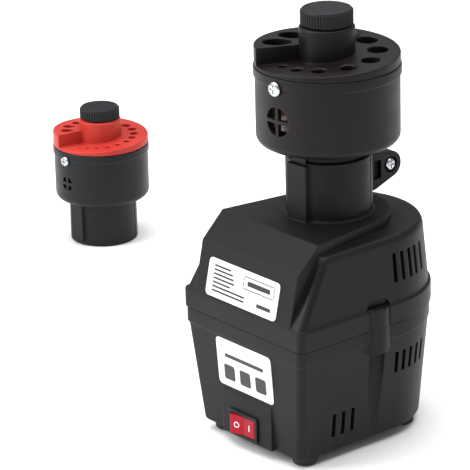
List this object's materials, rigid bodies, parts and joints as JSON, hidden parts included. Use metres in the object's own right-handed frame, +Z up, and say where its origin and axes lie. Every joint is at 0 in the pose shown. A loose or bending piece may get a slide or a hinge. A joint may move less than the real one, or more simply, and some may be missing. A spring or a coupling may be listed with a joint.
{
  "type": "drill bit sharpener",
  "caption": "Bench drill bit sharpener: a motor casing with a clamp collar, a sharpening head with graded guide holes in the collar, and a smaller spare head beside it.",
  "frame": {"origin": "on the worktop, straight below the axis of the neck, the motor shaft and the mounted head", "axes": "+Z up along the motor shaft, -Y towards the face with the switch and the labels, +X along the width, away from the spare head"},
  "size_m": [0.392, 0.1795, 0.2295],
  "materials": {
    "black_plastic": "fine spark-eroded texture, semi-matt",
    "red_plastic": "satin",
    "rocker_plastic": "gloss",
    "rubber": "matt",
    "label": "satin film",
    "zinc_steel": "bright zinc plate",
    "bright_steel": "ground",
    "core_steel": "stacked laminations",
    "copper_wire": "enamelled winding",
    "cast_aluminium": "as cast",
    "corundum": "coarse abrasive",
    "terminal_brass": "bright",
    "grey_nylon": "satin"
  },
  "bodies": {
    "base": {"lower_housing": "black_plastic", "upper_housing": "black_plastic", "foot_front_left": "rubber", "foot_front_right": "rubber", "foot_back_left": "rubber", "foot_back_right": "rubber", "housing_screw_front_left": "zinc_steel", "housing_screw_front_right": "zinc_steel", "housing_screw_back_left": "zinc_steel", "housing_screw_back_right": "zinc_steel", "clamp_nut": "zinc_steel", "rating_label": "label", "front_label": "label", "switch_body": "black_plastic", "switch_terminal_left": "terminal_brass", "switch_terminal_right": "terminal_brass", "cable_inlet": "rubber", "stator_core": "core_steel", "stator_coil_1": "copper_wire", "stator_coil_2": "copper_wire", "stator_coil_3": "copper_wire", "stator_coil_4": "copper_wire", "lower_bracket": "cast_aluminium", "upper_bracket": "cast_aluminium", "lower_bearing": "bright_steel", "upper_bearing": "bright_steel", "motor_bolt_back": "zinc_steel", "motor_bolt_front": "zinc_steel"},
    "rotor": {"motor_shaft": "bright_steel", "rotor_core": "core_steel", "cooling_fan": "grey_nylon", "drive_dog": "bright_steel"},
    "rocker": {"switch_rocker": "rocker_plastic"},
    "clamp": {"clamp_screw": "zinc_steel"},
    "head": {"head_drum": "black_plastic", "head_cap": "black_plastic", "head_cap_screw_front": "zinc_steel", "head_cap_screw_back": "zinc_steel"},
    "head_feed": {"head_feed_sleeve": "grey_nylon", "head_bearing": "bright_steel"},
    "head_turning": {"head_spindle": "bright_steel", "head_grinding_wheel": "corundum", "head_wheel_nut": "zinc_steel"},
    "head_dial": {"head_knob": "black_plastic"},
    "spare": {"spare_drum": "black_plastic", "spare_cap": "red_plastic", "spare_cap_screw_front": "zinc_steel", "spare_cap_screw_back": "zinc_steel"},
    "spare_feed": {"spare_feed_sleeve": "grey_nylon", "spare_bearing": "bright_steel"},
    "spare_turning": {"spare_spindle": "bright_steel", "spare_grinding_wheel": "corundum", "spare_wheel_nut": "zinc_steel"},
    "spare_dial": {"spare_knob": "black_plastic"}
  },
  "joints": [
    {"name": "rotor_spin", "type": "hinge", "parent": "base", "child": "rotor", "pos_m": [0, 0, 0.074], "axis": [0, 0, 1], "continuous": true},
    {"name": "switch_tilt", "type": "hinge", "parent": "base", "child": "rocker", "pos_m": [-0.002, -0.0576, 0.0134], "axis": [0, 0, -1], "range_deg": [0, 18]},
    {"name": "clamp_turn", "type": "hinge", "parent": "base", "child": "clamp", "pos_m": [0, 0.0382, 0.137], "axis": [1, 0, 0], "range_deg": [-360, 360]},
    {"name": "head_lift", "type": "slide", "parent": "base", "child": "head", "axis": [0, 0, 1], "range_m": [0, 0.045]},
    {"name": "head_knob_turn", "type": "hinge", "parent": "head", "child": "head_dial", "pos_m": [0, 0, 0.225], "axis": [0, 0, 1], "range_deg": [-180, 180]},
    {"name": "head_feed_travel", "type": "slide", "parent": "head", "child": "head_feed", "axis": [0, 0, 1], "range_m": [-0.00063, 0.00063]},
    {"name": "head_wheel_spin", "type": "hinge", "parent": "head_feed", "child": "head_turning", "pos_m": [0, 0, 0.19], "axis": [0, 0, 1], "continuous": true},
    {"name": "spare_lift", "type": "slide", "parent": "base", "child": "spare", "axis": [0, 0, 1], "range_m": [0, 0.06]},
    {"name": "spare_knob_turn", "type": "hinge", "parent": "spare", "child": "spare_dial", "pos_m": [-0.312, 0.085, 0.08], "axis": [0, 0, 1], "range_deg": [-180, 180]},
    {"name": "spare_feed_travel", "type": "slide", "parent": "spare", "child": "spare_feed", "axis": [0, 0, 1], "range_m": [-0.00063, 0.00063]},
    {"name": "spare_wheel_spin", "type": "hinge", "parent": "spare_feed", "child": "spare_turning", "pos_m": [-0.312, 0.085, 0.05], "axis": [0, 0, 1], "continuous": true}
  ],
  "couplings": [
    {"joint": "head_knob_turn", "follows": "head_feed_travel", "rad_per_m": 5026.5},
    {"joint": "head_wheel_spin", "follows": "rotor_spin", "ratio": 1},
    {"joint": "spare_knob_turn", "follows": "spare_feed_travel", "rad_per_m": 5026.5}
  ]
}
